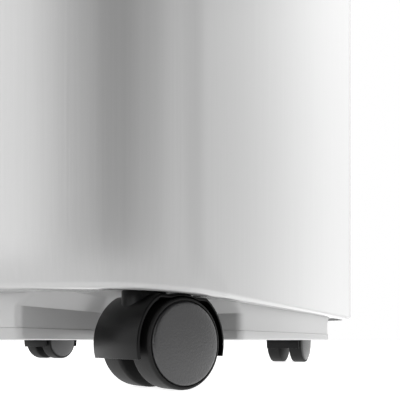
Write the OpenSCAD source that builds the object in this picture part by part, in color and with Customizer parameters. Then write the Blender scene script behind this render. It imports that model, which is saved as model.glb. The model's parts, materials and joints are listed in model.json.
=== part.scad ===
// Room dehumidifier on four hooded twin-wheel swivel casters.
// Origin: middle of the footprint, on the floor. +Z is up, the bowed front faces -Y, +X is to the
// right of someone who faces the front. Everything is in millimetres.

/* [Cabinet] */
// Overall height above the floor
total_h = 610; // [600:5:660]
// Overall depth, front of the bow to the back
body_d = 318; // [316:1:326]
// Distance from the middle axis to each tapered side plane
side_reach = 178.4; // [176:0.2:184]
// Taper of each side plane, in degrees
side_taper = 7.7; // [6:0.1:8.5]
// Radius of the bowed front in plan
bow_r = 450; // [430:10:520]
// Radius of the front corners in plan
corner_r = 40; // [36:1:44]
// Radius of the rear corners in plan
rear_r = 28; // [22:1:32]
// Thickness of the moulded shells
wall = 3; // [2.5:0.1:3.2]
// Height of the bottom rim above the floor
rim_z = 39; // [38.5:0.1:40]
// Radius of the rounded top edge
edge_r = 14; // [8:1:18]
// Seam between the front panel and the side panels, in Y
front_seam = -88; // [-92:1:-80]
// Seam between the side panels and the rear cover, in Y
rear_seam = 96; // [90:1:100]

/* [Base] */
// Height of the plinth's lower edge above the floor
plinth_z = 20.5; // [18:0.5:21]
// Setback of the plinth behind the bowed front
plinth_front = 15; // [12:1:17]
// Setback of the plinth behind the sides and the back
plinth_side = 7; // [6:0.5:9]
// Where the caster pockets begin, left and right
pocket_x = 99.5; // [96:0.5:101]
// Back wall of the front pockets, in Y
pocket_front = -61; // [-64:1:-58]
// Front wall of the rear pockets, in Y
pocket_rear = 87; // [84:1:88]
// Size of the sloped upper edge of a pocket
pocket_slope = 7; // [4:0.5:8]

/* [Casters] */
// Wheel diameter
wheel_d = 38; // [36:0.5:38]
// Distance from the swivel axis back to the axle
trail = 9; // [7:0.5:10]
// Outer radius of the hood
hood_r = 23.2; // [22.8:0.1:23.4]
// Half width of the hood
hood_half = 15; // [14:0.2:15.2]
// Swivel axes, distance left and right of the middle
swivel_x = 140; // [139:0.5:141]
// Swivel axes of the front pair, in Y
swivel_front = -109; // [-110:0.5:-108]
// Swivel axes of the rear pair, in Y
swivel_rear = 123; // [122:0.5:124]
// Radius of the swivel stem
stem_r = 4; // [3.5:0.1:4.5]
// Radius of the axle
axle_r = 2.5; // [2:0.1:3]

/* [Water tank] */
// Half width of the tank front
tank_w = 91.5; // [88:0.5:92]
// Lower edge of the tank front
tank_z = 75; // [72:1:78]
// Upper edge of the tank front
tank_top = 300; // [298:1:302]

/* [Fan] */
// Height of the fan axis
fan_z = 440; // [436:1:444]
// Radius of the fan wheel
fan_r = 85; // [80:1:88]
// Number of fan blades
blades = 28; // [20:1:36]

/* [Controls] */
// Radius of the round keys
key_r = 6; // [5:0.5:7]
// Travel of the keys
key_travel = 1; // [0.6:0.1:1.2]

/* [Hidden] */
$fn = 96;
slip = 0.05;                 // radial clearance of a running fit
gap = 0.5;                   // clearance between parts that move past each other
reach = 250;                 // half size of the blocks that cut a shell into its panels
floor_z = rim_z + 2;         // underside of the base floor and roof of the pockets
floor_top = floor_z + 3;
cover_z = total_h - 22;      // seam between the walls and the top cover
roof = 4;                    // thickness of the top cover's roof
roof_z = total_h - roof;
back_y = body_d / 2;
axle_z = wheel_d / 2;
key_foot = total_h - 7;      // underside of a key's stem at rest
shelf_top = tank_top + 2;    // upper face of the inner shelf
socket_r = 7;                // outer radius of a caster socket
socket_h = 18;               // height of a caster socket above the underside of the floor
stem_z = [30, 55.5];         // lower and upper ends of a caster's stem
boss_r = 9;                  // radius of the boss under the stem
boss_z = 33;                 // underside of that boss
roof_gap = 0.4;              // clearance between a hood and what is above it
hood_wall = 1.2;             // thickness of a hood over its wheels
hood_web = 3.5;              // half thickness of the web between the wheels
hood_skirt = 13.1;           // height of a hood's lower edge
wheel_gap = 0.6;             // clearance between a wheel and its hood
wheel_in = 4.5;              // inner face of a wheel, from the hood's middle
wheel_out = 16.4;            // edge of its cap, from the hood's middle
wheel_dome = 2.1;            // rise of the cap
crown_r = 20.8;              // radius of the hood's raised crown
crown_sweep = 20.3;          // radius that the crown sweeps round the swivel axis, with clearance
swing_r = 35.2;              // largest radius of the hood round the swivel axis
key_y = -106;
key_row = [["power", -84], ["mode", -62], ["fan", -40], ["timer", 40], ["up", 62], ["down", 84]];

// name, side (+1 right), swivel Y, yaw of the axle
CASTERS = [
    ["front_right", 1, swivel_front, -20.5],
    ["front_left", -1, swivel_front, 14],
    ["rear_right", 1, swivel_rear, -2],
    ["rear_left", -1, swivel_rear, 0]
];
CASTER_PARTS = ["hood", "axle", "wheel_right", "wheel_left"];

// ---- plan outline: bowed front, round corners, straight tapered sides, flat back ----
bow_c = [0, bow_r - body_d / 2];
side_n = [cos(side_taper), -sin(side_taper)];
side_t = [-sin(side_taper), -cos(side_taper)];
corner_h = side_reach - corner_r - side_n * bow_c;
corner_c = bow_c + corner_h * side_n + sqrt(pow(bow_r - corner_r, 2) - corner_h * corner_h) * side_t;
bow_a = atan2(corner_c.x, bow_c.y - corner_c.y);
rear_cy = body_d / 2 - rear_r;
rear_c = [(side_reach - rear_r - side_n.y * rear_cy) / side_n.x, rear_cy];

function arc(c, r, a0, a1, n) = [for (i = [1:n]) let (a = a0 + (a1 - a0) * i / n) c + r * [cos(a), sin(a)]];
function half_outline(d) = concat(
    arc(bow_c, bow_r - d, -90, -90 + bow_a, 12),
    arc(corner_c, corner_r - d, -90 + bow_a, -side_taper, 12),
    arc(rear_c, rear_r - d, -side_taper, 90, 10)
);
function outline(d) = let (h = half_outline(d), n = len(h) - 1)
    concat([[0, d - body_d / 2]], h, [for (i = [n:-1:0]) [-h[i].x, h[i].y]]);

// A slab of the outline, inset by d, from z0 to z1
module slab(d, z0, z1) { translate([0, 0, z0]) linear_extrude(z1 - z0) polygon(outline(d)); }
// A hollow wall between two insets
module ring(d0, d1, z0, z1) {
    translate([0, 0, z0]) linear_extrude(z1 - z0) difference() { polygon(outline(d0)); polygon(outline(d1)); }
}
// A box given by its lowest and highest corners
module block(a, b) { translate(a) cube(b - a); }
// A cylinder along X or along Y, from a to b
module bar_x(r, a, b) { translate([a, 0, 0]) rotate([0, 90, 0]) cylinder(r = r, h = b - a); }
module bar_y(r, a, b) { translate([0, a, 0]) rotate([-90, 0, 0]) cylinder(r = r, h = b - a); }
module both_sides() { children(); mirror([1, 0, 0]) children(); }

// ---- base ----
module plinth_plan(extra) {
    intersection() {
        polygon(outline(plinth_side + extra));
        translate(bow_c) circle(r = bow_r - plinth_front - extra, $fn = 240);
    }
}
pocket_cut = 24;             // leg of the cut across a pocket's inner corner
// Plan of the right-hand pocket whose inner wall is at y0; dir is -1 for a front pocket, 1 for a rear one
module pocket_plan(y0, dir, g) {
    x0 = pocket_x - g;
    y1 = y0 - dir * g;
    k = pocket_cut + 0.6 * g;
    polygon([[x0, dir * reach], [x0, y1 + dir * k], [x0 + k, y1], [reach, y1], [reach, dir * reach]]);
}
module pockets(g) {
    both_sides() { pocket_plan(pocket_front, -1, g); pocket_plan(pocket_rear, 1, g); }
}
module pocket_slopes() {
    s = pocket_slope;
    wedge = [[-0.1, 0], [s, 0], [-0.1, -s - 0.1]];
    intersection() {
        linear_extrude(floor_z) plinth_plan(0.4);
        both_sides() for (p = [[pocket_front, -1], [pocket_rear, 1]]) {
            y0 = p[0];
            dir = p[1];
            translate([pocket_x, y0 + dir * 100, floor_z]) rotate([90, 0, 0])
                translate([0, 0, dir < 0 ? -100 : 0]) linear_extrude(100) polygon(wedge);
            translate([reach, y0, floor_z]) rotate([90, 0, -90])
                linear_extrude(reach - pocket_x) polygon([for (w = wedge) [-dir * w.x, w.y]]);
        }
    }
}
module base_pan() {
    color("gainsboro") difference() {
        slab(wall + 0.5, floor_z, floor_top);
        for (c = CASTERS) translate([c[1] * swivel_x, c[2], floor_z - 1]) cylinder(r = socket_r, h = 6);
    }
}
module plinth_skirt() {
    color("gainsboro") {
        difference() {
            translate([0, 0, plinth_z]) linear_extrude(floor_z - plinth_z)
                difference() { plinth_plan(0); pockets(0); }
            translate([0, 0, plinth_z - 1]) linear_extrude(floor_z - plinth_z + 2)
                difference() { plinth_plan(5.5); pockets(3); }
        }
        pocket_slopes();
    }
}
module caster_sockets() {
    color("silver") for (c = CASTERS) translate([c[1] * swivel_x, c[2], 0]) difference() {
        union() {
            translate([0, 0, floor_z]) cylinder(r = socket_r, h = socket_h);
            translate([0, 0, floor_top]) cylinder(r = socket_r + 5, h = 2);
        }
        translate([0, 0, floor_z - 1]) cylinder(r = stem_r + slip, h = socket_h - 1);
    }
}

// ---- shells ----
module shell_wall() {
    ring(0, wall, rim_z, cover_z);
    ring(0, plinth_side - 0.2, rim_z, floor_z);
}
module front_panel() {
    color("white") difference() {
        intersection() {
            union() {
                shell_wall();
                ring(0, plinth_front - 0.2, rim_z, floor_z);
            }
            block([-reach, -reach, 0], [reach, front_seam, total_h]);
        }
        block([-tank_w - 2, -reach, tank_z - 2], [tank_w + 2, -100, tank_top + 2]);
        both_sides() translate([swivel_x, swivel_front, rim_z - 1]) cylinder(r = crown_sweep, h = 4);
    }
}
module side_panel_right() {
    color("white") intersection() {
        shell_wall();
        block([0, front_seam, 0], [reach, rear_seam, total_h]);
    }
}
module side_panel_left() { mirror([1, 0, 0]) side_panel_right(); }

intake_w = 119;              // half width of the intake and its filter
intake_z = [321, 559];
spout = [110, 100];          // X and Z of the hose spout
spout_r = 8;                 // outer radius of the drain pipe and its spout
spout_bore = 6;
drain_y = 112;               // Y of the drain's upright pipe
gland = [-120, 80];          // X and Z of the mains lead's gland
screw_r = 3.5;
screw_places = [for (x = [-158, 158]) for (z = [70, 300, 570]) [x, z]];
module rear_cover() {
    color("white") difference() {
        intersection() {
            shell_wall();
            block([-reach, rear_seam, 0], [reach, reach, total_h]);
        }
        block([-intake_w - gap, 100, intake_z[0] - gap], [intake_w + gap, reach, intake_z[1] + gap]);
        translate([spout.x, 0, spout.y]) bar_y(18, 130, reach);
        translate([gland.x, 0, gland.y]) bar_y(8, 130, reach);
        for (s = screw_places) translate([s.x, 0, s.y]) bar_y(screw_r, 130, reach);
    }
}
module case_screws() {
    color("dimgray") for (s = screw_places) translate([s.x, 0, s.y]) difference() {
        bar_y(screw_r, back_y - 10, back_y - 0.5);
        for (a = [0, 90]) rotate([0, a, 0]) block([-2.2, back_y - 2, -0.5], [2.2, back_y, 0.5]);
    }
}

outlet = [[-115, -10], [115, 68]];
tub = [[-90.5, 85.5], [90.5, 145.5]];
panel = [[-105, -128], [105, -84]];
pivot = [134, total_h - 9.5];       // Y and Z of the carry handle's pins
hinge = [64, total_h - 2];          // Y and Z of the louver's pins
module top_cover() {
    steps = 6;
    color("white") difference() {
        union() {
            slab(0, cover_z, total_h - edge_r);
            for (i = [0:steps - 1]) {
                a0 = 90 * i / steps;
                a1 = 90 * (i + 1) / steps;
                slab(edge_r * (1 - cos((a0 + a1) / 2)), total_h - edge_r + edge_r * sin(a0) - 0.05,
                    total_h - edge_r + edge_r * sin(a1));
            }
        }
        difference() {
            union() {
                slab(wall, cover_z - 1, total_h - edge_r);
                slab(edge_r, total_h - edge_r - 1, roof_z);
            }
            block([tub[0].x, tub[0].y, cover_z], [tub[1].x, tub[1].y, total_h]);
        }
        block([tub[0].x + 2.5, tub[0].y + 2.5, cover_z + 2.5], [tub[1].x - 2.5, tub[1].y - 2.5, total_h + 1]);
        translate([0, pivot[0], pivot[1]]) bar_x(3 + slip, tub[0].x - 1, tub[1].x + 1);
        block([outlet[0].x, outlet[0].y, roof_z - 1], [outlet[1].x, outlet[1].y, total_h + 1]);
        translate([0, hinge[0], hinge[1]]) bar_x(1.5 + slip, outlet[0].x - 4, outlet[1].x + 4);
        block([panel[0].x, panel[0].y, total_h - 3], [panel[1].x, panel[1].y, total_h + 1]);
        block([panel[0].x + 4, panel[0].y + 4, roof_z - 1], [panel[1].x - 4, panel[1].y - 4, total_h]);
    }
}

// ---- controls ----
display = [[-24, -117], [24, -99]];
module control_panel() {
    color("gainsboro") difference() {
        block([panel[0].x, panel[0].y, total_h - 3], [panel[1].x, panel[1].y, total_h]);
        block([display[0].x, display[0].y, total_h - 4], [display[1].x, display[1].y, total_h + 1]);
        for (k = key_row) translate([k[1], key_y, total_h - 4]) cylinder(r = key_r + 0.3, h = 6);
    }
}
module display_window() {
    color("black") block([display[0].x, display[0].y, total_h - 3], [display[1].x, display[1].y, total_h]);
}
module key(k) {
    color("whitesmoke") translate([k[1], key_y, 0]) {
        translate([0, 0, total_h - 5.5]) cylinder(r = key_r + 1.2, h = 2);
        translate([0, 0, total_h - 4]) cylinder(r = key_r, h = 4.6);
        translate([0, 0, key_foot]) cylinder(r = 2, h = 2);
    }
}
module control_board() {
    board_z = total_h - 14;
    switch_top = key_foot - key_travel - 0.6;
    color("green") {
        block([-100, -125, board_z], [100, -87, board_z + 1.6]);
        for (k = key_row) translate([k[1], key_y, board_z + 1]) cylinder(r = 3, h = switch_top - board_z - 1);
        block([-22, -115, board_z + 1], [22, -101, board_z + 8]);
        for (x = [-70, -30, 30, 70]) block([x - 5, -123, board_z - 6], [x + 5, -113, board_z + 0.5]);
    }
}

// ---- air outlet ----
module outlet_grille() {
    color("darkgray") {
        difference() {
            block([outlet[0].x - 4, outlet[0].y - 4, roof_z - 8], [outlet[1].x + 4, outlet[1].y + 4, roof_z]);
            block([outlet[0].x, outlet[0].y, roof_z - 9], [outlet[1].x, outlet[1].y, roof_z + 1]);
        }
        for (x = [-96:12:96]) block([x - 1, outlet[0].y - 1, roof_z - 8], [x + 1, outlet[1].y + 1, roof_z - 5]);
    }
}
module outlet_louver() {
    color("white") {
        block([outlet[0].x + gap, outlet[0].y + gap, total_h - 3], [outlet[1].x - gap, hinge[0], total_h]);
        translate([0, hinge[0], hinge[1]]) {
            bar_x(2, outlet[0].x + gap, outlet[1].x - gap);
            bar_x(1.5, outlet[0].x - 3.5, outlet[1].x + 3.5);
        }
    }
}

// ---- carry handle ----
module carry_handle() {
    color("lightgray") {
        both_sides() {
            block([79, 92, total_h - 14], [86, 139, total_h - 4]);
            translate([0, pivot[0], pivot[1]]) bar_x(3, 80, 90.3);
        }
        block([-80, 92, total_h - 14], [80, 107, total_h - 2]);
    }
}

// ---- air filter ----
module filter_frame() {
    y0 = back_y - 10;
    pitch = 14;
    color("whitesmoke") difference() {
        block([-intake_w, y0, intake_z[0]], [intake_w, back_y, intake_z[1]]);
        block([-intake_w + 8, y0 - 1, intake_z[0] + 8], [intake_w - 8, back_y - 3, intake_z[1] - 8]);
        for (z = [intake_z[0] + 12:pitch:intake_z[1] - 20])
            block([-intake_w + 12, y0, z], [intake_w - 12, back_y + 1, z + pitch - 5]);
    }
}
module filter_mesh() {
    w = intake_w - 8;
    color("dimgray") block([-w, back_y - 8, intake_z[0] + 8], [w, back_y - 6, intake_z[1] - 8]);
}

// ---- water tank ----
bay_y = 36;
bucket = [[-90.5, -144, tank_z + 1], [90.5, 34, 280]];
float_pivot = [22, 260];     // Y and Z of the float's pin
module tank_bay() {
    color("lightgray") {
        both_sides() block([94, -143, floor_top], [97, bay_y + 3, tank_top]);
        block([-94, bay_y, floor_top], [94, bay_y + 3, tank_top]);
        block([-94, -143, tank_z - 2.5], [94, bay_y, tank_z + 0.5]);
    }
}
module tank_bucket() {
    a = bucket[0];
    b = bucket[1];
    color("aliceblue") {
        difference() {
            block(a, b);
            block(a + [2.5, 2.5, 2.5], b + [-2.5, -2.5, 1]);
        }
        both_sides() block([7, float_pivot.x - 6, float_pivot.y - 6], [10, b.y - 1, float_pivot.y + 6]);
        translate([0, float_pivot.x, float_pivot.y]) bar_x(1.5, -8, 8);
    }
}
module tank_front() {
    y1 = bucket[0].y;
    w = tank_w;
    color("white") difference() {
        intersection() {
            slab(0, tank_z, tank_top);
            block([-w, -reach, 0], [w, y1, total_h]);
        }
        intersection() {
            slab(3, tank_z + 3, tank_top - 3);
            block([-w + 3, -reach, 0], [w - 3, y1 + 1, total_h]);
        }
        block([-45, -reach, tank_top - 26], [45, y1 - 4, tank_top - 8]);
        block([-8, -reach, 100], [8, y1 - 4, 240]);
    }
}
module level_window() {
    color("lightblue") intersection() {
        ring(0, 3, 100, 240);
        block([-8, -reach, 0], [8, 0, total_h]);
    }
}
module tank_lid() {
    color("lightgray") difference() {
        block([bucket[0].x, bucket[0].y, bucket[1].z], [bucket[1].x, bucket[1].y, bucket[1].z + 4]);
        translate([0, 0, bucket[1].z - 1]) cylinder(r = 18, h = 6);
    }
}
module float_arm() {
    color("orange") difference() {
        union() {
            block([-12, -50, 236], [12, -8, 262]);
            block([-3, -10, 258], [3, 20, 262]);
            translate([0, float_pivot.x, float_pivot.y]) bar_x(4, -6, 6);
        }
        translate([0, float_pivot.x, float_pivot.y]) bar_x(1.5 + slip, -7, 7);
    }
}

// ---- inner frame: a shelf on two legs, and two upright plates that carry the coils and the fan ----
plate_x = [124, 127];
module chassis_frame() {
    color("silver") difference() {
        union() {
            block([-plate_x[1], bay_y, tank_top], [plate_x[1], 152, shelf_top]);
            both_sides() {
                block([plate_x[0], 141, floor_top], [plate_x[1], 152, tank_top + 1]);
                block([plate_x[0], 30, tank_top + 1], [plate_x[1], 121, 560]);
                block([101, 30, fan_z - 12], [plate_x[0] + 1, 50, fan_z + 12]);
            }
        }
        translate([spout.x, drain_y, tank_top - 1]) cylinder(r = spout_r + 0.2, h = 4);
        for (p = pipe_ends) translate([0, p[0], p[1]]) bar_x(4.2, -plate_x[1] - 1, -plate_x[0] + 0.5);
    }
}

// ---- cooling circuit ----
pipe_ends = [[112, 480], [84, 530]]; // Y and Z where the pipes join the evaporator and the condenser
module coil(y0, y1) {
    color("silver") {
        for (x = [-117:9.75:117]) block([x - 0.6, y0, shelf_top + 2], [x + 0.6, y1, 552]);
        for (y = [y0 + 6, y0 + 16]) for (z = [330:50:530])
            translate([0, y, z]) bar_x(4, -plate_x[0], plate_x[0]);
    }
}
module evaporator() { coil(96, 118); }
module condenser() { coil(68, 90); }
module drip_tray() {
    t = shelf_top;
    color("darkgray") {
        difference() {
            block([-122, 65, t], [122, 121, t + 14]);
            block([-120, 67, t + 2], [120, 119, t + 15]);
            translate([spout.x, drain_y, t - 1]) cylinder(r = 5, h = 4);
            block([-10, 60, t + 2], [10, 68, t + 8]);
        }
        difference() {
            block([-12, -12, t], [12, 65, t + 9]);
            block([-10, -10, t + 2], [10, 66, t + 10]);
            translate([0, 0, t - 1]) cylinder(r = 6, h = 4);
        }
    }
}
comp = [-70, 97];
comp_r = 46;
mount_r = 62;                // distance of its feet from its axis
flange_z = 62;               // underside of its mounting lugs
module compressor_mounts() {
    translate([comp.x, comp.y, 0]) for (a = [45:90:315]) rotate([0, 0, a]) children();
}
module compressor() {
    color("dimgray") {
        translate([comp.x, comp.y, 0]) rotate_extrude() polygon(concat([[0, flange_z], [comp_r - 8, flange_z]],
            [for (a = [0:15:90]) [comp_r - 8 + 8 * sin(a), 70 - 8 * cos(a)]],
            [for (a = [0:15:90]) [comp_r - 28 + 28 * cos(a), 190 + 28 * sin(a)]], [[0, 218]]));
        compressor_mounts() difference() {
            block([30, -9, flange_z], [69, 9, flange_z + 3]);
            translate([mount_r, 0, flange_z - 2]) cylinder(r = 4.2, h = 8);
        }
    }
}
module compressor_feet() {
    color("black") compressor_mounts() translate([mount_r, 0, 0]) difference() {
        translate([0, 0, floor_top]) cylinder(r = 9, h = flange_z - floor_top);
        translate([0, 0, floor_top - 1]) cylinder(r = 4.2, h = 25);
    }
}
module compressor_bolts() {
    color("silver") compressor_mounts() translate([mount_r, 0, 0]) {
        translate([0, 0, floor_top]) cylinder(r = 4, h = 24);
        translate([0, 0, flange_z + 3]) cylinder(r = 6.5, h = 4, $fn = 6);
    }
}
// A tube that turns at each point of a route, with a solder bead at each turn
module tube(route, r) {
    for (i = [0:len(route) - 2]) {
        d = route[i + 1] - route[i];
        translate(route[i]) rotate([0, acos(d.z / norm(d)), atan2(d.y, d.x)]) cylinder(r = r, h = norm(d));
    }
    for (i = [1:len(route) - 2]) translate(route[i]) sphere(r = r + 0.4);
}
module copper_pipes() {
    color("peru") {
        tube([[-70, 97, 217], [-70, 97, 280], [-140, 97, 280], [-140, 112, 480], [-plate_x[0], 112, 480]], 4);
        tube([[-90, 115, 210], [-90, 115, 255], [-152, 115, 255], [-152, 84, 530], [-plate_x[0], 84, 530]], 4);
    }
}

// ---- fan ----
scroll_y = [8, 62];
scroll_r = 101;
module fan_scroll() {
    y0 = scroll_y[0];
    y1 = scroll_y[1];
    color("silver") difference() {
        union() {
            translate([0, 0, fan_z]) bar_y(scroll_r, y0, y1);
            block([-scroll_r, y0, fan_z], [scroll_r, y1, roof_z - 8.5]);
        }
        translate([0, 0, fan_z]) {
            bar_y(scroll_r - 3, y0 + 2.5, y1 - 2.5);
            bar_y(66, y1 - 4, y1 + 1);
            bar_y(14, y0 - 1, y0 + 4);
        }
        block([3 - scroll_r, y0 + 2.5, fan_z], [scroll_r - 3, y1 - 2.5, roof_z - 3]);
    }
}
module fan_wheel() {
    color("dimgray") translate([0, 0, fan_z]) {
        bar_y(fan_r, 14, 17);
        bar_y(14, 14, 34);
        bar_y(4, -30, 15);
        difference() { bar_y(fan_r, 52, 55); bar_y(fan_r - 17, 51, 56); }
        for (i = [0:blades - 1]) rotate([0, i * 360 / blades, 0])
            translate([fan_r - 9, 0, 0]) rotate([0, 25, 0]) block([-7, 16, -0.8], [7, 53, 0.8]);
    }
}
module fan_motor() {
    color("gray") translate([0, 0, fan_z]) difference() {
        union() { bar_y(44, -45, 6); bar_y(56, 6, scroll_y[0]); }
        bar_y(4 + slip, -31, 9);
    }
}

// ---- electrical and drain ----
module capacitor() {
    color("silver") translate([70, 100, floor_top]) {
        cylinder(r = 20, h = 70);
        for (x = [-6, 6]) block([x - 0.4, -3, 69], [x + 0.4, 3, 80]);
    }
}
module tank_switch() {
    color("black") {
        block([30, bay_y + 3, 262], [50, bay_y + 10, 274]);
        block([30, bay_y + 10, 266], [48, bay_y + 11, 270]);
    }
}
module drain_spout() {
    color("whitesmoke") translate([spout.x, 0, 0]) difference() {
        union() {
            translate([0, 0, spout.y]) { bar_y(spout_r, drain_y, back_y - 1); bar_y(17.5, 134, 137); }
            translate([0, drain_y, spout.y]) cylinder(r = spout_r, h = shelf_top - spout.y);
            translate([0, drain_y, spout.y]) sphere(r = spout_r);
        }
        translate([0, 0, spout.y]) bar_y(spout_bore, drain_y, back_y + 1);
        translate([0, drain_y, spout.y]) cylinder(r = spout_bore, h = shelf_top - spout.y + 1);
    }
}
module cord_gland() {
    color("black") translate([gland.x, 0, gland.y]) difference() {
        union() { bar_y(8, back_y - wall, back_y); bar_y(11, back_y - wall - 4, back_y - wall); }
        bar_y(4, back_y - 10, back_y + 1);
    }
}

// ---- casters ----
// Places children at a caster, with the swivel axis on Z and the wheels trailing towards +Y
module at_caster(c) { translate([c[1] * swivel_x, c[2], 0]) rotate([0, 0, c[3]]) children(); }
module caster_hood(c) {
    w = hood_half;
    color("black") at_caster(c) {
        difference() {
            union() {
                intersection() {
                    translate([0, trail, axle_z]) bar_x(hood_r, -w, w);
                    block([-w, -hood_r, hood_skirt], [w, trail + hood_r + 1, rim_z - roof_gap]);
                    translate([0, 0, hood_skirt - 1]) cylinder(r = swing_r, h = 40);
                }
                intersection() {
                    translate([0, trail, axle_z]) bar_x(crown_r, -w, w);
                    translate([0, 0, axle_z]) cylinder(r = crown_sweep - gap, h = floor_z - axle_z);
                }
                translate([0, 0, boss_z]) cylinder(r = boss_r, h = floor_z - roof_gap - boss_z);
            }
            both_sides() {
                translate([0, trail, axle_z]) bar_x(axle_z + wheel_gap, hood_web, w + 1);
                intersection() {
                    translate([0, trail, axle_z]) bar_x(hood_r - hood_wall, hood_web, w + 1);
                    block([hood_web, -hood_r, 0], [w + 1, trail + hood_r, rim_z - hood_wall - wheel_gap]);
                }
            }
            translate([0, trail, axle_z]) bar_x(axle_r, -w, w);
        }
        translate([0, 0, stem_z[0]]) cylinder(r = stem_r, h = stem_z[1] - stem_z[0]);
    }
}
module caster_axle(c) {
    color("silver") at_caster(c) translate([0, trail, axle_z]) bar_x(axle_r, 0.4 - wheel_out, wheel_out - 0.4);
}
// side is +1 for the wheel on the hood's right
module caster_wheel(c, side) {
    r = wheel_d / 2;
    hub = axle_r + slip;
    tread = [[r - 1, wheel_in], [r, wheel_in + 1], [r, wheel_out - 1.2], [r - 1, wheel_out]];
    profile = concat([[hub, wheel_in]], tread,
        [for (t = [0:5]) [(r - 1.5) * cos(18 * t), wheel_out + wheel_dome * sin(18 * t)]],
        [[0, wheel_out + 0.2], [hub, wheel_out + 0.2]]);
    color("black") at_caster(c) translate([0, trail, axle_z]) rotate([0, side * 90, 0])
        rotate_extrude() polygon(profile);
}

base_pan();
plinth_skirt();
front_panel();
side_panel_right();
side_panel_left();
rear_cover();
top_cover();
control_panel();
display_window();
outlet_grille();
tank_bay();
chassis_frame();
drip_tray();
evaporator();
condenser();
fan_scroll();
fan_motor();
compressor();
compressor_feet();
compressor_bolts();
copper_pipes();
control_board();
capacitor();
tank_switch();
drain_spout();
cord_gland();
caster_sockets();
case_screws();
fan_wheel();
tank_bucket();
tank_front();
level_window();
tank_lid();
float_arm();
filter_frame();
filter_mesh();
outlet_louver();
carry_handle();
for (k = key_row) key(k);
for (c = CASTERS) {
    caster_hood(c);
    caster_axle(c);
    caster_wheel(c, 1);
    caster_wheel(c, -1);
}
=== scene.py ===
# Room dehumidifier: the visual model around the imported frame. Metres, +Z up, the front faces -Y.
import json
import math
import bmesh
import bpy
from mathutils import Matrix, Vector


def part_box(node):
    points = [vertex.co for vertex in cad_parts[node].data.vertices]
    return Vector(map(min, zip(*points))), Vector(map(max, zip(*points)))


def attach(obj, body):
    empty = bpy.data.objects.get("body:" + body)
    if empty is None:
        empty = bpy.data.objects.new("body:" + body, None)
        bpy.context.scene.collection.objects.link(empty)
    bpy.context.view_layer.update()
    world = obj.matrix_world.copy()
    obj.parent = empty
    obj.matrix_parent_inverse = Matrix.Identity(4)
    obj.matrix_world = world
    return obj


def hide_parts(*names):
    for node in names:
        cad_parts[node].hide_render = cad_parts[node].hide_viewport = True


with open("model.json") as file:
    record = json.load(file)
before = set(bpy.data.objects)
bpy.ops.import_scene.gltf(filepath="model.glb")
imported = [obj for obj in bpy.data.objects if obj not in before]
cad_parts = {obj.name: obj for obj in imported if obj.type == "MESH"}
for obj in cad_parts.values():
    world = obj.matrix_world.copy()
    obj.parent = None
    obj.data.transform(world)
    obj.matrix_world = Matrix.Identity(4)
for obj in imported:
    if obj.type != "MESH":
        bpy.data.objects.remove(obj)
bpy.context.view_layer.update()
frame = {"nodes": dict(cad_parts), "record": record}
MM = 0.001
record = frame["record"]
joints = {j["name"]: j for j in record["behaviour"]["joints"]}
mounts = {m["name"]: m["pos_m"] for m in record["mounts"]}

# ---- the cabinet's driving dimensions, in metres ----
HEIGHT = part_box("top_cover")[1].z
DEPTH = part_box("rear_cover")[1].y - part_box("front_panel")[0].y
RIM_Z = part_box("side_panel_right")[0].z
COVER_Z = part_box("top_cover")[0].z
FLOOR_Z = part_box("base_pan")[0].z
FRONT_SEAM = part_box("side_panel_right")[0].y
REAR_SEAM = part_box("side_panel_right")[1].y
BOW_R = 450 * MM             # plan radius of the bowed front
CORNER_R = 40 * MM           # plan radius of the front corners
REAR_R = 28 * MM             # plan radius of the rear corners
SIDE_REACH = 178.4 * MM      # from the middle to a side wall, square to the wall
TAPER = math.radians(7.7)    # each side wall splays out by this towards the back
WALL = 3 * MM
LIP = 2.8 * MM               # radius of the rounded bottom rim
FLANGE_FRONT = 14.8 * MM     # how far the bottom flange reaches in, at the front
FLANGE_SIDE = 6.8 * MM       # and at the sides and the back
FLANGE_LEAST = 0.4 * MM      # the least it reaches past the rim's rounding
FLANGE_END = 0.3 * MM        # the same where the front's lower edge pulls in
FRONT_BLEND = 2.0 * MM       # how far the front's lower edge pulls in
BLEND_H = 26 * MM            # height over which it does
BLEND_REACH = 32 * MM        # distance from the front seam over which it sets in
ROW_LIFT = 4 * MM            # height above the rim at which the plain side wall ends
ROW_GAP = 12 * MM            # from there to the next row of the mesh
# Heights of the mesh rows up the plain part of a wall
WALL_ROWS = (COVER_Z, COVER_Z - 60 * MM, 300 * MM, 150 * MM)
EDGE_R = 14 * MM             # radius of the rounded top edge
ROOF_WALL = 3.5 * MM
SCREW_X = 158 * MM           # the rear cover's screws stand at both sides
SCREW_Z = (70 * MM, 300 * MM, 570 * MM)
SCREW_HOLE_R = 3.6 * MM
SPOUT_HOLE_R = 18 * MM
GLAND_HOLE_R = 8 * MM
OUTLET_HALF = 115 * MM       # the air outlet's half width and rear edge
OUTLET_BACK = 68 * MM
WELL_HALF = 88 * MM          # the handle's well: half width, front and rear edge, floor
WELL_FRONT = 88 * MM
WELL_BACK = 143 * MM
WELL_FLOOR = 590.5 * MM
WELL_R = 8 * MM
TUB_WALL = 2.5 * MM
TANK_GAP = 2 * MM            # round the tank's front
GRIP_FLOOR = -148 * MM       # how deep the tank's grip and its level slot go
GRIP_HALF = 45 * MM
GRIP_LOW = 26 * MM          # the grip's edges, below the top of the tank's front
GRIP_HIGH = 8 * MM
LEVEL_HALF = 8 * MM
LEVEL_Z = (100 * MM, 240 * MM)

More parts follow.
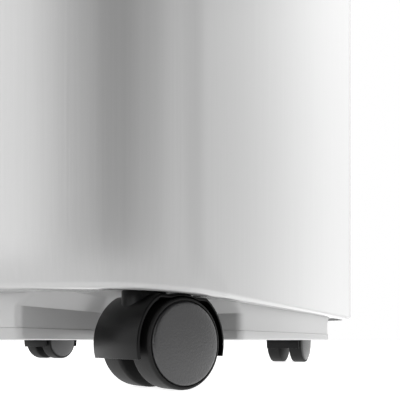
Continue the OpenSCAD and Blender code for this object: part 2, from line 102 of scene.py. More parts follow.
# ---- the plinth's and the casters' ----
PLINTH_Z = 20.5 * MM
PLINTH_FRONT = 15 * MM       # how far the plinth stands behind the cabinet's front
PLINTH_SIDE = 7 * MM         # and inside its other walls
PLINTH_WALL = 2.6 * MM
POCKET_X = 99.5 * MM
POCKET_FRONT = -61 * MM
POCKET_REAR = 87 * MM
POCKET_CUT = 24 * MM         # size of the chamfer across each pocket's inner corner
POCKET_SLOPE = 7 * MM        # how far a pocket's wall leans back below the floor
SOCKET_HOLE_R = 7 * MM
FRONT_SWIVEL = joints["caster_front_right_swivel"]["pos_m"]
CROWN_SWEEP = 20.3 * MM      # how near the front swivels the bottom flange may come
WHEEL_R = 19 * MM
WHEEL_CLEAR = WHEEL_R + 0.6 * MM
HOOD_R = 23.2 * MM
HOOD_WALL = 1.2 * MM
HOOD_HALF = 15 * MM
HOOD_EDGE_R = 0.7 * MM
HOOD_GAP = 0.4 * MM          # left under the cabinet's rim
ROOF_DROP = 1.8 * MM         # the hood's roof inside, below the cabinet's rim
CROWN_R = 20.8 * MM          # radius of the hood's crown about the axle
CROWN_GAP = 0.5 * MM         # how far inside the sweep the crown ends
SKIRT_Z = 13.1 * MM          # height of the hood's lower ends
SKIRT_A = math.asin((SKIRT_Z - WHEEL_R) / HOOD_R)
WEB_HALF = 3.5 * MM
SHARP = math.radians(32)     # an edge sharper than this is shaded as one
CLOSE = 1e-6                 # distance at which two points are the same

# ---- camera, floor and light ----
CAMERA_AT = (0.2416, -0.264, 0.0205)
YAW = math.radians(17.2)
LENS = 38.7
SHIFT = (-0.17, 0.35)        # lets the camera look level, so that uprights stay parallel
camera = bpy.data.objects.new("camera", bpy.data.cameras.new("camera"))
camera.location = CAMERA_AT
camera.rotation_euler = (math.pi / 2, 0, YAW)
camera.data.lens = LENS
camera.data.shift_x, camera.data.shift_y = SHIFT
camera.data.clip_start = 0.005
bpy.context.collection.objects.link(camera)
bpy.context.scene.camera = camera
bpy.context.scene.view_settings.view_transform = "Standard"


def area(name, shape, size, watts, height, turn):
    """A flat lamp over the middle of the floor."""
    light = bpy.data.lights.new(name, "AREA")
    light.energy = watts
    light.shape = shape
    light.size, light.size_y = size
    lamp = bpy.data.objects.new(name, light)
    lamp.location = (0, 0, height)
    lamp.rotation_euler = turn
    bpy.context.collection.objects.link(lamp)
    return lamp


area("top", "RECTANGLE", size=(1.2, 1.2), watts=3, height=2.25, turn=(0, 0, -math.pi))
# What the pale floor near the object throws back up at it
floor_glow = area("floor_glow", "ELLIPSE", size=(0.66, 0.58), watts=0.6, height=0.0005,
                  turn=(math.pi, 0, 0))
floor_glow.visible_camera = False

# The surround: its strength by compass direction, and the share of it by elevation, both in degrees
SURROUND = [(-180, 1.2), (-130, 1.6), (-120, 3.0), (-108, 3.3), (-95, 0.15), (-84, 0.0), (-60, 0.05),
            (-40, 0.7), (0, 1.6), (30, 1.0), (50, 1.0), (65, 1.9), (78, 0.8), (110, 0.8), (180, 1.2)]
BAND = [(-90, 0.0), (-22, 0.0), (-12, 0.8), (3, 1.0), (38, 1.0), (52, 0.0), (90, 0.0)]
AMBIENT = 0.02               # strength added everywhere


def curve(nt, value, stops):
    """A smooth curve through (position, level) stops, both 0 to 1, driven by the value."""
    ramp = nt.nodes.new("ShaderNodeValToRGB")
    ramp.color_ramp.interpolation = "EASE"
    elements = ramp.color_ramp.elements
    for element, stop in ((elements[0], stops[0]), (elements[1], stops[-1])):
        element.position = stop[0]
        element.color = (stop[1],) * 3 + (1,)
    for position, level in stops[1:-1]:
        elements.new(position).color = (level,) * 3 + (1,)
    nt.links.new(value, ramp.inputs[0])
    return ramp.outputs[0]


def math_node(nt, operation, *inputs):
    """One step of arithmetic. Each input is a number or another node's output."""
    node = nt.nodes.new("ShaderNodeMath")
    node.operation = operation
    for socket, value in zip(node.inputs, inputs):
        if isinstance(value, (int, float)):
            socket.default_value = value
        else:
            nt.links.new(value, socket)
    return node.outputs[0]


def studio():
    """A soft band of light round the object, with a dark stretch in front. The camera sees plain white."""
    world = bpy.data.worlds.new("studio")
    world.use_nodes = True
    nt = world.node_tree
    coord = nt.nodes.new("ShaderNodeTexCoord")
    split = nt.nodes.new("ShaderNodeSeparateXYZ")
    nt.links.new(coord.outputs["Generated"], split.inputs[0])
    azimuth = math_node(nt, "ARCTAN2", split.outputs[1], split.outputs[0])
    around = math_node(nt, "MULTIPLY_ADD", azimuth, 1 / (2 * math.pi), 0.5)
    upward = math_node(nt, "MULTIPLY_ADD", split.outputs[2], 0.5, 0.5)
    peak = max(strength for _, strength in SURROUND)
    level = curve(nt, around, [(a / 360 + 0.5, strength / peak) for a, strength in SURROUND])
    share = curve(nt, upward, [(math.sin(math.radians(e)) / 2 + 0.5, k) for e, k in BAND])
    light = math_node(nt, "MULTIPLY", math_node(nt, "MULTIPLY", level, share), peak)
    lit = nt.nodes["Background"]
    nt.links.new(math_node(nt, "ADD", light, AMBIENT), lit.inputs[1])
    lit.inputs[0].default_value = (1, 1, 1, 1)
    backdrop = nt.nodes.new("ShaderNodeBackground")
    backdrop.inputs[0].default_value = (1, 1, 1, 1)
    mix = nt.nodes.new("ShaderNodeMixShader")
    nt.links.new(nt.nodes.new("ShaderNodeLightPath").outputs["Is Camera Ray"], mix.inputs[0])
    nt.links.new(lit.outputs[0], mix.inputs[1])
    nt.links.new(backdrop.outputs[0], mix.inputs[2])
    nt.links.new(mix.outputs[0], nt.nodes["World Output"].inputs[0])
    bpy.context.scene.world = world


studio()


# ---- materials ----
COAT_ROUGH = 0.2
GRAIN_DEPTH = 0.0002
HAIRLINE = (1, 1, 0.01)      # stretches the grain into upright hairlines


def material(name, color, rough, metal=0.0, vary=0.05, vary_scale=40.0, grain=0.0, grain_scale=900.0,
             stretch=(1, 1, 1), coat=0.0, specular=0.5, alpha=1.0):
    """A surface whose colour varies softly and whose grain is a bump, both in object space."""
    m = bpy.data.materials.new(name)
    m.use_nodes = True
    nt = m.node_tree
    b = nt.nodes["Principled BSDF"]
    b.inputs["Roughness"].default_value = rough
    b.inputs["Metallic"].default_value = metal
    b.inputs["Coat Weight"].default_value = coat
    b.inputs["Coat Roughness"].default_value = COAT_ROUGH
    b.inputs["Specular IOR Level"].default_value = specular
    b.inputs["Alpha"].default_value = alpha
    coord = nt.nodes.new("ShaderNodeTexCoord")
    place = nt.nodes.new("ShaderNodeMapping")
    place.inputs["Scale"].default_value = stretch
    nt.links.new(coord.outputs["Object"], place.inputs[0])
    cloud = nt.nodes.new("ShaderNodeTexNoise")
    cloud.inputs["Scale"].default_value = vary_scale
    cloud.inputs["Detail"].default_value = 3
    nt.links.new(place.outputs[0], cloud.inputs["Vector"])
    ramp = nt.nodes.new("ShaderNodeValToRGB")
    for element, k in zip(ramp.color_ramp.elements, (1 - vary, 1 + vary)):
        element.color = tuple(min(1, c * k) for c in color) + (1,)
    nt.links.new(cloud.outputs["Fac"], ramp.inputs[0])
    nt.links.new(ramp.outputs[0], b.inputs["Base Color"])
    fine = nt.nodes.new("ShaderNodeTexNoise")
    fine.inputs["Scale"].default_value = grain_scale
    fine.inputs["Detail"].default_value = 2
    nt.links.new(place.outputs[0], fine.inputs["Vector"])
    bump = nt.nodes.new("ShaderNodeBump")
    bump.inputs["Strength"].default_value = grain
    bump.inputs["Distance"].default_value = GRAIN_DEPTH
    nt.links.new(fine.outputs["Fac"], bump.inputs["Height"])
    nt.links.new(bump.outputs[0], b.inputs["Normal"])
    return m


MAT = {
    "body_white": material("body_white", (0.53, 0.53, 0.53), 0.26, vary=0.035, vary_scale=900, grain=0.14,
                           grain_scale=1400, stretch=HAIRLINE, coat=1.0, specular=1.0),
    "trim_white": material("trim_white", (0.52, 0.52, 0.52), 0.30, vary=0.012, grain=0.04, coat=0.3,
                           specular=0.6),
    "grey_plastic": material("grey_plastic", (0.40, 0.41, 0.42), 0.45, grain=0.10, grain_scale=1600),
    "dark_plastic": material("dark_plastic", (0.025, 0.025, 0.027), 0.45, grain=0.12, grain_scale=1500),
    "caster_black": material("caster_black", (0.002, 0.002, 0.0022), 0.28, vary=0.10, grain=0.05,
                             grain_scale=1200, specular=0.14),
    "wheel_black": material("wheel_black", (0.017, 0.017, 0.018), 0.34, vary=0.35, vary_scale=1500, grain=1.0,
                            grain_scale=1300, specular=0.6),
    "rubber_black": material("rubber_black", (0.005, 0.005, 0.005), 0.60, vary=0.15, grain=0.2, specular=0.2),
    "galvanised": material("galvanised", (0.55, 0.56, 0.57), 0.38, metal=1.0, vary=0.12, vary_scale=120),
    "steel": material("steel", (0.55, 0.55, 0.56), 0.28, metal=1.0, vary=0.06, grain=0.08),
    "motor_metal": material("motor_metal", (0.16, 0.17, 0.18), 0.40, vary=0.05, grain=0.06, coat=0.2),
    "compressor_black": material("compressor_black", (0.012, 0.012, 0.013), 0.25, vary=0.1, grain=0.06,
                                 coat=0.5),
    "coil_aluminium": material("coil_aluminium", (0.72, 0.73, 0.74), 0.35, metal=1.0, vary=0.06, grain=0.1),
    "copper": material("copper", (0.80, 0.38, 0.22), 0.30, metal=1.0, vary=0.10, vary_scale=90),
    "circuit_green": material("circuit_green", (0.01, 0.09, 0.03), 0.35, vary=0.15, vary_scale=300, coat=0.4),
    "display_black": material("display_black", (0.006, 0.006, 0.007), 0.08, vary=0.1, coat=0.6),
    "level_clear": material("level_clear", (0.55, 0.70, 0.78), 0.08, vary=0.03, coat=0.5, alpha=0.65),
    "tank_clear": material("tank_clear", (0.72, 0.79, 0.83), 0.22, vary=0.02, grain=0.04, alpha=0.85),
    "float_foam": material("float_foam", (0.80, 0.30, 0.06), 0.80, vary=0.12, vary_scale=500, grain=0.5),
    "filter_net": material("filter_net", (0.035, 0.037, 0.04), 0.60, vary=0.3, vary_scale=900, grain=0.6,
                           grain_scale=1800),
    "key_white": material("key_white", (0.80, 0.80, 0.80), 0.34, vary=0.015, grain=0.05),
}
SLOT = {p["node"]: p["material_slot"] for p in record["subparts"]}


def set_material(obj, name):
    obj.data.materials.clear()
    obj.data.materials.append(MAT[name])


def soften(obj, width, segments=2):
    """Rounds the object's hard edges."""
    bevel = obj.modifiers.new("edges", "BEVEL")
    bevel.width = width
    bevel.segments = segments
    bevel.limit_method = "ANGLE"
    bevel.angle_limit = math.radians(35)
    bevel.harden_normals = True


for cad_name, cad_node in frame["nodes"].items():
    set_material(cad_node, SLOT[cad_name])


# ---- mesh helpers ----
def mesh_object(name, verts, faces):
    data = bpy.data.meshes.new(name)
    data.from_pydata([tuple(v) for v in verts], [], faces)
    data.validate()
    data.update()
    for poly in data.polygons:
        poly.use_smooth = True
    data.set_sharp_from_angle(angle=SHARP)
    obj = bpy.data.objects.new(name, data)
    bpy.context.collection.objects.link(obj)
    return obj


def fix_normals(obj):
    """Joins points that meet, and turns every face outwards."""
    bm = bmesh.new()
    bm.from_mesh(obj.data)
    bmesh.ops.remove_doubles(bm, verts=bm.verts, dist=CLOSE)
    bmesh.ops.recalc_face_normals(bm, faces=bm.faces)
    bm.to_mesh(obj.data)
    bm.free()


def bake(obj):
    """Applies the object's modifiers to its mesh."""
    graph = bpy.context.evaluated_depsgraph_get()
    obj.data = bpy.data.meshes.new_from_object(obj.evaluated_get(graph))
    obj.modifiers.clear()
    obj.data.set_sharp_from_angle(angle=SHARP)


def cut(obj, *cutters):
    """Takes the cutters out of the object, and removes them."""
    for cutter in cutters:
        mod = obj.modifiers.new("cut", "BOOLEAN")
        mod.operation = "DIFFERENCE"
        mod.solver = "EXACT"
        mod.object = cutter
    bake(obj)
    for cutter in cutters:
        bpy.data.objects.remove(cutter)


def prism(name, rings, capped=True):
    """Joins closed rings that have the same number of points, and closes both ends."""
    n = len(rings[0])
    faces = [(j * n + i, j * n + (i + 1) % n, (j + 1) * n + (i + 1) % n, (j + 1) * n + i)
             for j in range(len(rings) - 1) for i in range(n)]
    if capped:
        last = (len(rings) - 1) * n
        faces += [tuple(range(n)), tuple(range(last, last + n))]
    obj = mesh_object(name, [p for ring in rings for p in ring], faces)
    fix_normals(obj)
    return obj


def cutter_box(low, high, radius=2 * MM, axis=2):
    """A box whose four edges along the axis are rounded."""
    u, v = [i for i in range(3) if i != axis]
    steps = 4
    ring = []
    for cu, cv, start in ((high[u] - radius, high[v] - radius, 0), (low[u] + radius, high[v] - radius, 90),
                          (low[u] + radius, low[v] + radius, 180), (high[u] - radius, low[v] + radius, 270)):
        for k in range(steps + 1):
            a = math.radians(start + 90 * k / steps)
            ring.append((cu + radius * math.cos(a), cv + radius * math.sin(a)))
    rings = []
    for w in (low[axis], high[axis]):
        points = [[w, w, w] for _ in ring]
        for point, p in zip(points, ring):
            point[u], point[v] = p
        rings.append(points)
    return prism("cutter", rings)


def lathe(name, profile, centre, axis, steps=96):
    """Turns (radius, distance along the axis) points about an axis through the centre."""
    turn = Vector((0, 0, 1)).rotation_difference(Vector(axis)).to_matrix()
    verts = []
    for k in range(steps):
        a = 2 * math.pi * k / steps
        verts += [Vector(centre) + turn @ Vector((r * math.cos(a), r * math.sin(a), t)) for r, t in profile]
    n = len(profile)
    faces = [(k * n + i, k * n + i + 1, (k + 1) % steps * n + i + 1, (k + 1) % steps * n + i)
             for k in range(steps) for i in range(n - 1)]
    obj = mesh_object(name, verts, faces)
    fix_normals(obj)
    obj.data.set_sharp_from_angle(angle=math.radians(50))
    return obj


def cutter_rod(centre, axis, radius, half, steps):
    """A cylinder that reaches half to each side of its centre."""
    return lathe("cutter", [(0, -half), (radius, -half), (radius, half), (0, half)], centre, axis, steps)


# ---- the cabinet's plan outline: (x, y, normal x, normal y) from the front's middle to the back's ----
def half_outline():
    """The right half of it: bow, corner, side wall, rear corner and back."""
    bow_y = BOW_R - DEPTH / 2
    n = Vector((math.cos(TAPER), -math.sin(TAPER)))
    t = Vector((-math.sin(TAPER), -math.cos(TAPER)))
    centre = Vector((0, bow_y))
    h = SIDE_REACH - CORNER_R - n.dot(centre)
    corner = centre + h * n + math.sqrt((BOW_R - CORNER_R) ** 2 - h * h) * t
    bow_a = math.atan2(corner.x, bow_y - corner.y)
    rear_y = DEPTH / 2 - REAR_R
    rear = Vector(((SIDE_REACH - REAR_R - n.y * rear_y) / n.x, rear_y))
    points = []

    def arc(c, r, a0, a1, steps, first=0):
        for k in range(first, steps + 1):
            a = a0 + (a1 - a0) * k / steps
            points.append((c.x + r * math.cos(a), c.y + r * math.sin(a), math.cos(a), math.sin(a)))

    arc(centre, BOW_R, -math.pi / 2, -math.pi / 2 + bow_a, steps=48)
    arc(corner, CORNER_R, -math.pi / 2 + bow_a, -TAPER, steps=32, first=1)
    side_from, side_to = points[-1], rear + REAR_R * n
    even = {side_from[1] + (side_to.y - side_from[1]) * k / 30 for k in range(1, 30)}
    for y in sorted(even | {FRONT_SEAM, REAR_SEAM}):
        if side_from[1] + 10 * CLOSE < y < side_to.y - 10 * CLOSE:
            points.append((side_from[0] + (side_from[1] - y) * math.tan(-TAPER), y, n.x, n.y))
    arc(rear, REAR_R, -TAPER, math.pi / 2, steps=24)
    points += [(rear.x * k / 20, DEPTH / 2, 0, 1) for k in range(19, -1, -1)]
    return points


HALF = half_outline()


def mirrored(points):
    """The same stretch on the left, in the opposite order."""
    return [(-x, y, -nx, ny) for x, y, nx, ny in reversed(points)]


WHOLE = HALF + mirrored(HALF)[1:-1]


def stretch_of(y0, y1):
    """The half outline between two depths."""
    return [p for p in HALF if y0 - CLOSE <= p[1] <= y1 + CLOSE]


def walled(obj, thickness):
    """Thickens a surface inwards."""
    solid = obj.modifiers.new("wall", "SOLIDIFY")
    solid.thickness = thickness
    solid.offset = -1
    bake(obj)


def skin(name, path, rows, loop=False):
    """A surface along a path. rows(point) gives its (inset, height) points, the same number for each."""
    sections = [rows(p) for p in path]
    m = len(sections[0])
    verts = [(x - nx * d, y - ny * d, z) for (x, y, nx, ny), row in zip(path, sections) for d, z in row]
    span = len(path) if loop else len(path) - 1
    faces = [(k * m + i, k * m + i + 1, (k + 1) % len(path) * m + i + 1, (k + 1) % len(path) * m + i)
             for k in range(span) for i in range(m - 1)]
    return mesh_object(name, verts, faces)


def flange_depth(p, most):
    """How far the bottom flange reaches in, stopping short of the front casters' sweep."""
    x, y, nx, ny = p
    tries = 40
    best = most
    for centre_x in (-FRONT_SWIVEL[0], FRONT_SWIVEL[0]):
        for k in range(tries):
            d = LIP + (most - LIP) * k / (tries - 1)
            if math.hypot(x - nx * d - centre_x, y - ny * d - FRONT_SWIVEL[1]) < CROWN_SWEEP:
                best = min(best, d)
                break
    return max(best, LIP + FLANGE_LEAST)


def wall_rows(p):
    """From the top seam down the outside, round the bottom rim and in along the flange."""
    y = p[1]
    front = max(0.0, min(1.0, (FRONT_SEAM - y) / BLEND_REACH))
    pull = FRONT_BLEND * front
    height = RIM_Z + LIP + (ROW_LIFT + BLEND_H * front)
    rows = [(0, z) for z in WALL_ROWS + (height + ROW_GAP, height)]
    steps = 8
    for k in range(1, steps + 1):
        f = k / steps
        rows.append((pull * f * f, height + (RIM_Z + LIP - height) * f))
    for k in range(1, steps + 1):
        a = math.radians(90 * k / steps)
        rows.append((pull + LIP * (1 - math.cos(a)), RIM_Z + LIP - LIP * math.sin(a)))
    deep = flange_depth(p, FLANGE_FRONT if y < FRONT_SEAM + CLOSE else FLANGE_SIDE)
    return rows + [(max(deep, pull + LIP + FLANGE_END), RIM_Z)]


def shell(name, path):
    """One of the cabinet's outer walls."""
    obj = skin(name, path, wall_rows)
    walled(obj, WALL)
    return obj


def dress(obj, slot_name, body, nodes, bevel=0.3 * MM):
    """Gives a finished piece its material and its body, and hides the nodes that it stands for."""
    set_material(obj, slot_name)
    if bevel:
        soften(obj, bevel)
    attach(obj, body)
    if nodes:
        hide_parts(*nodes)
    return obj


def grown(node, by):
    """A node's box, made larger on each side."""
    low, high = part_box(node)
    return [a - b for a, b in zip(low, by)], [a + b for a, b in zip(high, by)]


# ---- cabinet shells ----
def shells():
    nose = stretch_of(-DEPTH, FRONT_SEAM)
    front = shell("front_shell", mirrored(nose)[:-1] + nose)
    low, high = grown("tank_front", (TANK_GAP, 30 * MM, TANK_GAP))
    high[1] = low[1] + 80 * MM
    cut(front, cutter_box(low, high, radius=3 * MM, axis=1))
    dress(front, "body_white", "root", ["front_panel"])
    flank = stretch_of(FRONT_SEAM, REAR_SEAM)
    dress(shell("right_shell", flank), "body_white", "root", ["side_panel_right"])
    dress(shell("left_shell", mirrored(flank)), "body_white", "root", ["side_panel_left"])
    tail = stretch_of(REAR_SEAM, DEPTH)
    rear = shell("rear_shell", tail + mirrored(tail)[1:])
    low, high = grown("filter_frame", (0.5 * MM, 20 * MM, 0.5 * MM))
    holes = [cutter_box(low, high, axis=1)]
    for mount, r in (("hose_spout", SPOUT_HOLE_R), ("cord_gland_bore", GLAND_HOLE_R)):
        x, y, z = mounts[mount]
        holes.append(cutter_rod((x, DEPTH / 2, z), (0, 1, 0), r, half=40 * MM, steps=48))
    for x in (-SCREW_X, SCREW_X):
        for z in SCREW_Z:
            holes.append(cutter_rod((x, DEPTH / 2, z), (0, 1, 0), SCREW_HOLE_R, half=20 * MM, steps=32))
    cut(rear, *holes)
    dress(rear, "body_white", "root", ["rear_cover"])


def roof():
    """The top cover's outside: a short wall, the rounded edge and the flat top."""
    steps = 10
    rows = [(0, COVER_Z), (0, HEIGHT - EDGE_R)]
    for k in range(1, steps + 1):
        a = math.radians(90 * k / steps)
        rows.append((EDGE_R * (1 - math.cos(a)), HEIGHT - EDGE_R + EDGE_R * math.sin(a)))
    obj = skin("top_shell", WHOLE, lambda p: rows, loop=True)
    bm = bmesh.new()
    bm.from_mesh(obj.data)
    rim = [e for e in bm.edges if e.is_boundary and e.verts[0].co.z > HEIGHT - 10 * CLOSE]
    bmesh.ops.contextual_create(bm, geom=rim)
    bm.to_mesh(obj.data)
    bm.free()
    fix_normals(obj)
    walled(obj, ROOF_WALL)
    return obj


def top():
    """The top cover with its outlet, panel and handle openings, and the tub under the handle."""
    obj = roof()
    low, high = grown("outlet_louver", (0.5 * MM, 0.5 * MM, 20 * MM))
    holes = [cutter_box([-OUTLET_HALF, low[1], low[2]], [OUTLET_HALF, OUTLET_BACK, high[2]])]
    low, high = grown("control_panel", (0.05 * MM, 0.05 * MM, 20 * MM))
    holes.append(cutter_box(low, high, radius=0.4 * MM))
    well_low, well_high = [-WELL_HALF, WELL_FRONT], [WELL_HALF, WELL_BACK]
    holes.append(cutter_box(well_low + [570 * MM], well_high + [640 * MM], WELL_R))
    cut(obj, *holes)
    dress(obj, "body_white", "root", ["top_cover"])
    tub = cutter_box([c - TUB_WALL for c in well_low + [WELL_FLOOR]],
                     [c + TUB_WALL for c in well_high] + [HEIGHT - 3.4 * MM], radius=10 * MM)
    tub.name = tub.data.name = "handle_tub"
    cut(tub, cutter_box(well_low + [WELL_FLOOR], well_high + [HEIGHT + 5 * MM], WELL_R))
    dress(tub, "trim_white", "root", [])


def tank_shell():
    """The tank's front, bowed like the cabinet's, with a grip and a slot for the level window."""
    low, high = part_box("tank_front")
    stations = 24
    path = []
    for k in range(-stations, stations + 1):
        x = high.x * k / stations
        a = math.asin(x / BOW_R)
        path.append((x, BOW_R - DEPTH / 2 - BOW_R * math.cos(a), math.sin(a), -math.cos(a)))

    def rows(p):
        inner = (high.y - p[1]) / -p[3]
        plain = [(0, z) for z in (high.z, high.z - 60 * MM, low.z + 60 * MM, low.z)]
        return [(inner, high.z)] + plain + [(inner, low.z)]

    obj = skin("tank_shell", path, rows)
    walled(obj, WALL)
    outside = low.y - 10 * MM
    grip = cutter_box([-GRIP_HALF, outside, high.z - GRIP_LOW], [GRIP_HALF, GRIP_FLOOR, high.z - GRIP_HIGH],
                      radius=6 * MM, axis=1)
    slot = cutter_box([-LEVEL_HALF, outside, LEVEL_Z[0]], [LEVEL_HALF, GRIP_FLOOR, LEVEL_Z[1]],
                      radius=3 * MM, axis=1)
    cut(obj, grip, slot)
    dress(obj, "body_white", "tank", ["tank_front"], bevel=0.6 * MM)


# ---- plinth with its four caster pockets ----
# The moulding round its foot: (height above the foot, how far it stands out), in millimetres
FOOT = [(5.0, 0), (4.6, 0.5), (0.9, 0.5), (0.25, 0.25), (0, -0.4)]


def plinth_corners():
    """From above: (x, y, corner radius, 1 where the edge that follows is a pocket's wall)."""
    def front_y(x):
        return BOW_R - DEPTH / 2 - math.sqrt((BOW_R - PLINTH_FRONT) ** 2 - x * x)

    def side_x(y):
        return (SIDE_REACH - PLINTH_SIDE + y * math.sin(TAPER)) / math.cos(TAPER)

    back = DEPTH / 2 - PLINTH_SIDE
    steps = 10
    right = [(POCKET_X * k / steps, front_y(POCKET_X * k / steps), 0, 0) for k in range(steps)]
    right += [
        (POCKET_X, front_y(POCKET_X), 2.5 * MM, 1),
        (POCKET_X, POCKET_FRONT - POCKET_CUT, 3 * MM, 1),
        (POCKET_X + POCKET_CUT, POCKET_FRONT, 3 * MM, 1),
        (side_x(POCKET_FRONT), POCKET_FRONT, 4 * MM, 0),
        (side_x(POCKET_REAR), POCKET_REAR, 4 * MM, 1),
        (POCKET_X + POCKET_CUT, POCKET_REAR, 3 * MM, 1),
        (POCKET_X, POCKET_REAR + POCKET_CUT, 3 * MM, 1),
        (POCKET_X, back, 2.5 * MM, 0),
    ]
    left = [(-right[i][0], right[i][1], right[i][2], right[i - 1][3])
            for i in range(len(right) - 1, 0, -1)]
    return right + [(0, back, 0, 0)] + left


def plinth_level(ring, z, outward, slope):
    """The outline at one height: each edge moved out by outward, and a pocket's wall by slope more."""
    n = len(ring)
    normals = []
    for i in range(n):
        along = (Vector(ring[(i + 1) % n][:2]) - Vector(ring[i][:2])).normalized()
        normals.append(Vector((along.y, -along.x)))
    corners = []
    for i in range(n):
        n0, n1 = normals[i - 1], normals[i]
        e0 = outward + slope * ring[i - 1][3]
        e1 = outward + slope * ring[i][3]
        det = n0.x * n1.y - n0.y * n1.x
        nearly_straight = abs(det) < 0.02
        if nearly_straight:
            move = n0 * (e0 + e1) / 2
        else:
            move = Vector(((e0 * n1.y - e1 * n0.y) / det, (e1 * n0.x - e0 * n1.x) / det))
        corners.append(Vector(ring[i][:2]) + move)
    steps = 6
    points = []
    for i in range(n):
        p, before, after = corners[i], corners[i - 1], corners[(i + 1) % n]
        r = ring[i][2]
        if not r:
            points.append((p.x, p.y, z))
            continue
        u, v = (before - p).normalized(), (after - p).normalized()
        for k in range(steps + 1):
            f = k / steps
            q = p + u * r * (1 - f) ** 2 + v * r * f ** 2
            points.append((q.x, q.y, z))
    return points


def plinth():
    ring = plinth_corners()
    steps = 4
    levels = [(FLOOR_Z - POCKET_SLOPE * k / steps, 0, POCKET_SLOPE * (1 - k / steps))
              for k in range(steps + 1)]
    levels += [(PLINTH_Z + up * MM, out * MM, 0) for up, out in FOOT]
    levels += [(PLINTH_Z, -PLINTH_WALL, 0), (FLOOR_Z - 1 * MM, -PLINTH_WALL, 0)]
    skirt = prism("plinth", [plinth_level(ring, *level) for level in levels], capped=False)
    skirt.data.set_sharp_from_angle(angle=math.radians(28))
    dress(skirt, "trim_white", "root", ["plinth_skirt"], bevel=0)


def floor_plate():
    """The base pan's floor, with a hole for each caster's stem."""
    inset = WALL + 0.6 * MM
    plan = [(x - nx * inset, y - ny * inset) for x, y, nx, ny in WHOLE]
    plate = prism("floor_plate", [[(x, y, z) for x, y in plan] for z in (FLOOR_Z, FLOOR_Z + WALL)])
    swivels = [j["pos_m"] for name, j in joints.items() if name.endswith("_swivel")]
    holes = [cutter_rod((x, y, FLOOR_Z), (0, 0, 1), SOCKET_HOLE_R, half=9 * MM, steps=48)
             for x, y, _ in swivels]
    cut(plate, *holes)
    dress(plate, "trim_white", "root", ["base_pan"], bevel=0)


# ---- casters ----
# A hood is made about its swivel, with the axle along X at (0, trail, WHEEL_R), and then turned into place.
# Sections of the turned pieces are (radius, distance along the axis) in millimetres. The boss and the stem
# stand on the swivel's axis. The tread and the cap go outwards from the caster's middle: the tread's section
# is a closed loop round its bore, and the cap's runs from the bore's blind end round its lip and dome.
BOSS = [(0, 33), (9, 33), (9, 40.2), (8.7, 40.6), (0, 40.6)]
STEM = [(0, 30), (4, 30), (4, 55), (3.5, 55.5), (0, 55.5)]
TREAD = [(2.55, 4.5), (17.6, 4.5), (18.5, 4.7), (18.9, 5.2), (19.0, 6.0), (19.0, 14.6), (18.9, 15.3),
         (18.6, 15.8), (18.1, 16.05), (17.75, 16.0), (17.55, 15.6), (17.5, 15.3), (2.55, 15.3), (2.55, 4.5)]
CAP = [(0, 16.6), (2.55, 16.6), (2.55, 15.4), (17.3, 15.4), (17.25, 15.9), (17.05, 16.35), (16.75, 16.7),
       (16.3, 16.95), (15.6, 17.15), (14.5, 17.4), (12, 17.8), (9, 18.15), (6, 18.35), (3, 18.47), (0, 18.5)]


def in_metres(section):
    return [(r * MM, t * MM) for r, t in section]


def about_axle(k, steps):
    """The angle of one step about the axle, from one end of the skirt over the top to the other."""
    return SKIRT_A + (math.pi - 2 * SKIRT_A) * k / steps


def hood_band(name, trail):
    """The arched cover, cut off level below the cabinet's rim, with a crown that stands higher."""
    steps = 72
    rings = []
    for k in range(steps + 1):
        a = about_axle(k, steps)
        rise = max(math.sin(a), 0.01)
        out = min(HOOD_R, (RIM_Z - HOOD_GAP - WHEEL_R) / rise)
        if math.hypot(HOOD_HALF, trail + CROWN_R * math.cos(a)) < CROWN_SWEEP - CROWN_GAP:
            out = max(out, CROWN_R)
        inner = max(WHEEL_CLEAR, min(HOOD_R - HOOD_WALL, (RIM_Z - ROOF_DROP - WHEEL_R) / rise))
        r = min(HOOD_EDGE_R, (out - inner) * 0.6)
        section = [(-HOOD_HALF, inner), (-HOOD_HALF, out - r)]
        for b in (math.radians(30), math.radians(60), math.radians(90)):
            section.append((-HOOD_HALF + r * (1 - math.cos(b)), out - r * (1 - math.sin(b))))
        section += [(-x, q) for x, q in reversed(section)]
        rings.append([(x, trail + q * math.cos(a), WHEEL_R + q * math.sin(a)) for x, q in section])
    return prism(name, rings)


def hood_web(name, trail):
    """The plate between the two wheels."""
    steps = 48
    angles = [about_axle(k, steps) for k in range(steps + 1)]
    long, tall = HOOD_R - HOOD_WALL, WHEEL_CLEAR + 0.2 * MM
    return prism(name, [[(x, trail + long * math.cos(a), WHEEL_R + tall * math.sin(a)) for a in angles]
                        for x in (-WEB_HALF, WEB_HALF)])


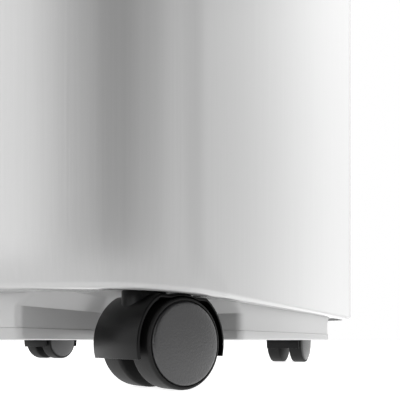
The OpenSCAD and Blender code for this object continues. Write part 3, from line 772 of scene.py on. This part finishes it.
def hood(body, swivel, yaw, trail):
    """The cover with its web, its swivel boss and its stem."""
    name = body + "_cover"
    band = hood_band(name, trail)
    web = hood_web(name + "_web", trail)
    boss = lathe(name + "_boss", in_metres(BOSS), (0, 0, 0), (0, 0, 1), steps=64)
    cut(boss, cutter_rod((0, trail, WHEEL_R), (1, 0, 0), WHEEL_CLEAR, half=30 * MM, steps=96))
    stem = lathe(name + "_stem", in_metres(STEM), (0, 0, 0), (0, 0, 1), steps=48)
    turn = Matrix.Translation(Vector((swivel[0], swivel[1], 0))) @ Matrix.Rotation(yaw, 4, "Z")
    for piece in (band, web, boss, stem):
        piece.data.transform(turn)
    dress(band, "caster_black", body, [body + "_hood"], bevel=0.45 * MM)
    dress(boss, "caster_black", body, [], bevel=0)
    dress(web, "caster_black", body, [], bevel=0.5 * MM)
    dress(stem, "caster_black", body, [], bevel=0)


def casters():
    for place in ("front_right", "front_left", "rear_right", "rear_left"):
        body = "caster_" + place
        swivel = joints[body + "_swivel"]["pos_m"]
        for side in ("right", "left"):
            roll = joints[f"{body}_{side}_roll"]
            axis = Vector(roll["axis"]) * (1 if side == "right" else -1)
            wheel = f"{body}_{side}"
            tread = lathe(f"{wheel}_tread", in_metres(TREAD), roll["pos_m"], axis)
            dress(tread, "rubber_black", wheel, [f"{body}_wheel_{side}"], bevel=0)
            cap = lathe(f"{wheel}_cap", in_metres(CAP), roll["pos_m"], axis)
            dress(cap, "wheel_black", wheel, [], bevel=0)
        yaw = math.atan2(roll["axis"][1], roll["axis"][0])
        trail = math.hypot(roll["pos_m"][0] - swivel[0], roll["pos_m"][1] - swivel[1])
        hood(body, swivel, yaw, trail)


shells()
top()
tank_shell()
plinth()
floor_plate()
casters()
for cad_name in ("control_panel", "outlet_louver", "carry_handle", "outlet_grille", "display_window",
                 "tank_lid", "tank_bucket", "filter_frame", "drip_tray"):
    soften(frame["nodes"][cad_name], 0.6 * MM)
for key in ("power", "mode", "fan", "timer", "up", "down"):
    soften(frame["nodes"][key + "_button"], 0.7 * MM, 3)


# ---- floor ----
def floor():
    """A pale floor that glows. It sends the object no diffuse light: the floor_glow lamp does that."""
    half = 6.0
    corners = [(-half, -half, 0), (half, -half, 0), (half, half, 0), (-half, half, 0)]
    obj = mesh_object("floor", corners, [(0, 1, 2, 3)])
    pale = material("floor", (0.90, 0.90, 0.90), 0.8, vary=0.005, specular=0.1)
    shader = pale.node_tree.nodes["Principled BSDF"]
    shader.inputs["Emission Color"].default_value = (1, 1, 1, 1)
    shader.inputs["Emission Strength"].default_value = 0.85
    obj.data.materials.append(pale)
    obj.visible_diffuse = False


floor()
